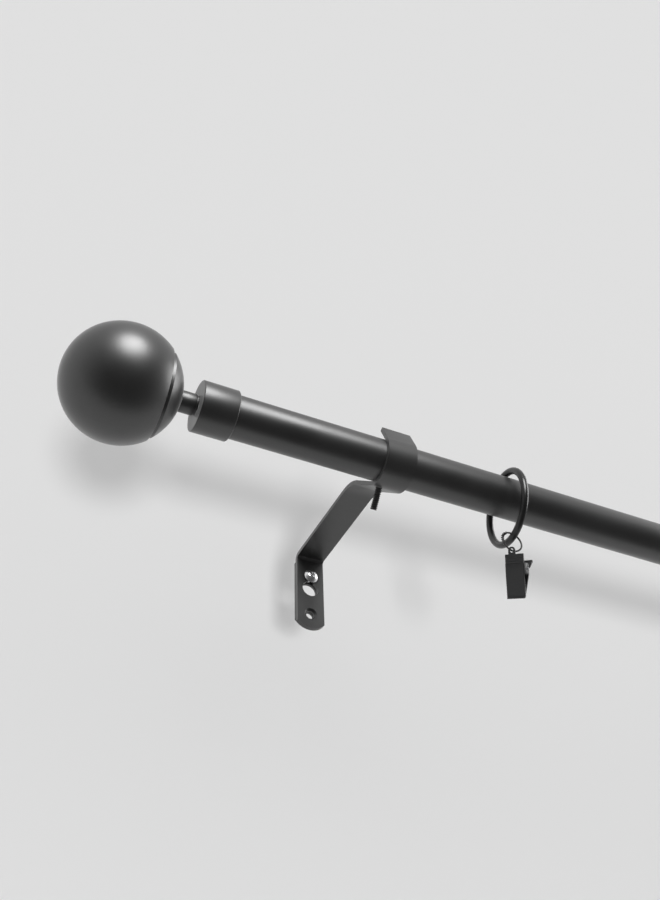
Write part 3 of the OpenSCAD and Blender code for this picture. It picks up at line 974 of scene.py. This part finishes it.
def fold_ears(plate, left, right):
    """Folds an ear back from each side, a little narrower at its end."""
    for edge_x in (left, right):
        pick(plate, lambda co: abs(co.x - edge_x) < NEAR
             and EAR_TOP - EAR_H - NEAR < co.z < EAR_TOP + NEAR)
        pull((0, EAR_DEPTH - EAR_TIP, 0))
        pull((0, EAR_TIP, 0))
        bpy.ops.transform.resize(value=(1, 1, EAR_TAPER), center_override=(edge_x, 0, PIN_Z))


def curl_lip(plate, bottom):
    """Curls the lower edge forward in steps."""
    for drop, forward in LIP_CURL:
        pick(plate, lambda co: co.z < bottom + NEAR)
        pull((0, -forward, -drop))
        bottom -= drop
        bpy.ops.transform.resize(value=(LIP_TAPER, 1, 1), center_override=(TAB_SHIFT, 0, 0))


def clip_jaw():
    """Sprung jaw: toothed lower edge, blade, elbow and open handle, with ears on the pin."""
    rest_y = CLIP_T / 2 + FIT_GAP + CLIP_T / 2
    foot_z = -TAB_RISE - CLIP_H + FIT_GAP
    elbow_y = ELBOW_Y + CLIP_T / 2
    bpy.ops.mesh.primitive_plane_add(size=1, location=(TAB_SHIFT, elbow_y, ELBOW_Z), rotation=FACING)
    bpy.context.object.scale = (2 * JAW_HALF, 2 * ELBOW_HALF, 1)
    jaw = added("clip_jaw_folded")
    open_mesh(jaw)
    pick(jaw, lambda co: co.z < ELBOW_Z)
    draw_out(rest_y - elbow_y, foot_z - ELBOW_Z + ELBOW_HALF, BLADE_PARTS)
    pick(jaw, lambda co: co.z > ELBOW_Z)
    draw_out(HANDLE_Y - ELBOW_Y, HANDLE_TOP - ELBOW_Z - ELBOW_HALF, HANDLE_PARTS)
    for side in (-1, 1):
        pick(jaw, lambda co: abs(co.x - TAB_SHIFT - side * JAW_HALF) < NEAR
             and abs(co.z - ELBOW_Z) < ELBOW_HALF + 2 * NEAR)
        for _ in range(JAW_EAR_STEPS):
            pull((0, (JAW_EAR_END - elbow_y) / JAW_EAR_STEPS, (PIN_Z - ELBOW_Z) / JAW_EAR_STEPS))
            bpy.ops.transform.resize(value=(1, 1, JAW_EAR_SPREAD), center_override=(0, 0, PIN_Z))
    close_mesh()
    modify(jaw, "SOLIDIFY", thickness=0.9 * CLIP_T, offset=0)
    notch_teeth(jaw, rest_y, foot_z)
    drill_round(jaw, (TAB_SHIFT, PIN_Y, PIN_Z), PIN_R + RUNNING_GAP, 3 * CLIP_W, ACROSS)
    ease_edges(jaw, JAW_EDGE, segments=2, angle=35)
    settle(jaw, clip_place())
    fit(jaw, "jaw", ["clip_jaw"], clip_paint, smooth=40)


def draw_out(run, rise, parts):
    """Draws a sheet on in parts, each a share of the way and a change of width."""
    for share, widen in parts:
        pull((0, share * run, share * rise))
        bpy.ops.transform.resize(value=(widen, 1, 1), center_override=(TAB_SHIFT, 0, 0))


def notch_teeth(jaw, rest_y, foot_z):
    """Notches the jaw's lower edge into teeth."""
    spacing = (CLIP_W - CLIP_T) / JAW_TEETH
    for tooth in range(JAW_TEETH):
        x = TAB_SHIFT + (tooth - (JAW_TEETH - 1) / 2) * spacing
        bpy.ops.mesh.primitive_cylinder_add(vertices=24, radius=NOTCH_R, depth=6 * MM,
                                            location=(x, rest_y, foot_z), rotation=FACING)
        drill(jaw, added("notch"))


def clip_pin():
    """Pin that stands a little out of both ears, with its ends rounded over."""
    tip = CLIP_W / 2 + PIN_ROUND
    rounded = [(tip - PIN_ROUND, PIN_R), (tip - 0.4 * PIN_ROUND, 0.9 * PIN_R), (tip, 0.5 * PIN_R)]
    stations = [(-x, r) for x, r in reversed(rounded)] + rounded
    pin = turn("clip_pin_riveted", Vector((TAB_SHIFT, PIN_Y, PIN_Z)), 1, stations, around=32)
    settle(pin, clip_place())
    fit(pin, "clip", ["clip_pin"], drawn_wire)


def clip_spring():
    """Torsion spring on the pin: a close coil with a long arm down and a short one up."""
    coil_r = PIN_R + SPRING_PLAY + SPRING_WIRE_R
    pitch = 2 * SPRING_WIRE_R + SPRING_GAP
    steps = 24
    length = SPRING_TURNS * pitch
    centre = Vector((TAB_SHIFT, PIN_Y, PIN_Z))
    coil = []
    for i in range(SPRING_TURNS * steps + 1):
        angle = math.tau * i / steps
        coil.append(centre + Vector((pitch * i / steps - length / 2, -coil_r * math.cos(angle),
                                     coil_r * math.sin(angle))))
    lower_arm = [coil[0] + Vector((0, -0.02 * k * MM, -1.2 * k * MM)) for k in (4, 3, 2, 1)]
    upper_arm = [coil[-1] + Vector((0, 0.25 * k * MM, 1.0 * k * MM)) for k in (1, 2)]
    spring = wire("clip_spring_wound", lower_arm + coil + upper_arm, SPRING_WIRE_R, sides=3)
    settle(spring, clip_place())
    fit(spring, "jaw", ["clip_spring"], drawn_wire, smooth=60)


# --- Studio ---

# Camera: stands below the rod in front of the wall and looks up along it
CAMERA_AT = Vector((-0.48254, -0.51924, -0.38123))
LENS = 43.11
AZIMUTH = math.radians(-26.76)
ELEVATION = math.radians(-42.47)
ROLL = math.radians(-2.22)
VIEW_AXIS = -Vector((math.sin(AZIMUTH) * math.cos(ELEVATION), -math.cos(AZIMUTH) * math.cos(ELEVATION),
                     math.sin(ELEVATION)))
LEVEL = Vector((math.cos(AZIMUTH), math.sin(AZIMUTH), 0))
STEEP = LEVEL.cross(VIEW_AXIS)
CAMERA_RIGHT = LEVEL * math.cos(ROLL) + STEEP * math.sin(ROLL)
CAMERA_UP = STEEP * math.cos(ROLL) - LEVEL * math.sin(ROLL)

# Stage and lamps
STAGE_SIZE = 16
WALL_GAP = 60 * MM
FLOOR_Z = -1.3
SKY_AXIS = (VIEW_AXIS - CAMERA_RIGHT * 0.35).normalized()
SKY_FROM, SKY_TO = -0.9, 0.3
SKY_LOW, SKY_HIGH = 0.08, 0.8
BALL_AT = Vector((-0.4, rod_y, rod_z))
SHADOW_AIM = (0.165, 0.84, 0.515)
FILL_AIM = (0.2, 0.9, 0.3)
OVERHEAD = CAMERA_UP * 0.95 + CAMERA_RIGHT * 0.2 - VIEW_AXIS * 0.25
OVERHEAD_SHIFT = Vector((0.15, 0, 0))
OVERHEAD_AWAY = 1.1
BESIDE = VIEW_AXIS * 0.48 + CAMERA_RIGHT * 0.87 + CAMERA_UP * 0.1
BESIDE_AWAY = 1.5


def camera():
    """The view that the constants above set."""
    data = bpy.data.cameras.new("camera")
    data.lens = LENS
    data.sensor_width = 36
    data.clip_start = 0.01
    made = bpy.data.objects.new("camera", data)
    bpy.context.scene.collection.objects.link(made)
    turned = Matrix((CAMERA_RIGHT, CAMERA_UP, -VIEW_AXIS)).transposed().to_4x4()
    made.matrix_world = Matrix.Translation(CAMERA_AT) @ turned
    bpy.context.scene.camera = made
    bpy.context.scene.view_settings.view_transform = "Standard"


def one_sided(name, colour):
    """Matt pale paint on the lit side only, so that a view from behind still shows the rod."""
    finish, nodes, links, shader = new_finish(name)
    nodes.remove(shader)
    side = nodes.new("ShaderNodeNewGeometry")
    paint = nodes.new("ShaderNodeBsdfDiffuse")
    clear = nodes.new("ShaderNodeBsdfTransparent")
    mix = nodes.new("ShaderNodeMixShader")
    paint.inputs["Color"].default_value = (*colour, 1)
    links.new(side.outputs["Backfacing"], mix.inputs["Fac"])
    links.new(paint.outputs["BSDF"], mix.inputs[1])
    links.new(clear.outputs["BSDF"], mix.inputs[2])
    links.new(mix.outputs["Shader"], nodes["Material Output"].inputs["Surface"])
    return finish


def stage():
    """Pale wall a little behind the wall plates and a pale floor well below the rod."""
    pale = one_sided("pale_matt", (0.82, 0.82, 0.82))
    deselect()
    bpy.ops.mesh.primitive_plane_add(size=STAGE_SIZE, location=(0, cad_hi.y + WALL_GAP, 0), rotation=FACING)
    wall = added("backdrop")
    bpy.ops.mesh.primitive_plane_add(size=STAGE_SIZE, location=(0, 0, FLOOR_Z))
    floor = added("floor")
    for surface in (wall, floor):
        surface.data.materials.append(pale)
    for sees in ("visible_diffuse", "visible_glossy", "visible_shadow"):
        setattr(floor, sees, False)


def sky():
    """Surroundings that brighten towards the wall."""
    world = bpy.data.worlds.new("studio")
    bpy.context.scene.world = world
    world.use_nodes = True
    nodes, links = world.node_tree.nodes, world.node_tree.links
    heading = nodes.new("ShaderNodeTexCoord")
    toward = nodes.new("ShaderNodeVectorMath")
    toward.operation = "DOT_PRODUCT"
    toward.inputs[1].default_value = SKY_AXIS
    ramp = nodes.new("ShaderNodeMapRange")
    ramp.interpolation_type = "SMOOTHSTEP"
    ramp.inputs["From Min"].default_value = SKY_FROM
    ramp.inputs["From Max"].default_value = SKY_TO
    ramp.inputs["To Min"].default_value = SKY_LOW
    ramp.inputs["To Max"].default_value = SKY_HIGH
    nodes["Background"].inputs["Color"].default_value = (1, 1, 1, 1)
    links.new(heading.outputs["Generated"], toward.inputs[0])
    links.new(toward.outputs["Value"], ramp.inputs["Value"])
    links.new(ramp.outputs["Result"], nodes["Background"].inputs["Strength"])


def lamp(name, kind, aim, **settings):
    """A light that shines along a direction."""
    data = bpy.data.lights.new(name, kind)
    for key, value in settings.items():
        setattr(data, key, value)
    made = bpy.data.objects.new(name, data)
    bpy.context.scene.collection.objects.link(made)
    made.rotation_euler = Vector(aim).to_track_quat("-Z", "Y").to_euler()
    return made


def lights():
    """A sun for the shadow on the wall, a broad sun that fills it, and two soft lamps by the ball."""
    shadow = lamp("shadow_lamp", "SUN", SHADOW_AIM, energy=1.05, angle=math.radians(10))
    shadow.visible_glossy = False
    fill = lamp("fill_lamp", "SUN", FILL_AIM, energy=1.1, angle=math.radians(150))
    fill.visible_glossy = False
    above = lamp("overhead_lamp", "AREA", -OVERHEAD, energy=17, shape="DISK", size=0.75)
    above.location = BALL_AT + OVERHEAD_SHIFT + OVERHEAD.normalized() * OVERHEAD_AWAY
    above.visible_diffuse = False
    beside = lamp("side_lamp", "AREA", -BESIDE, energy=7, shape="DISK", size=0.8)
    beside.location = BALL_AT + BESIDE.normalized() * BESIDE_AWAY
    beside.visible_diffuse = False


def inner_nodes():
    """The plugs and the glide keep their plain shapes and get their nylon."""
    for node in ("left_plug", "right_plug", "tube_glide"):
        slots = frame["nodes"][node].data.materials
        slots.clear()
        slots.append(nylon)


camera()
stage()
sky()
lights()
rod_tube("outer_tube", "rod")
rod_tube("inner_tube", "inner_rod")
for end in ("left", "right"):
    finial(end)
    bracket(end)
curtain_ring()
eyelet()
clip_front()
clip_jaw()
clip_pin()
clip_spring()
inner_nodes()
deselect()
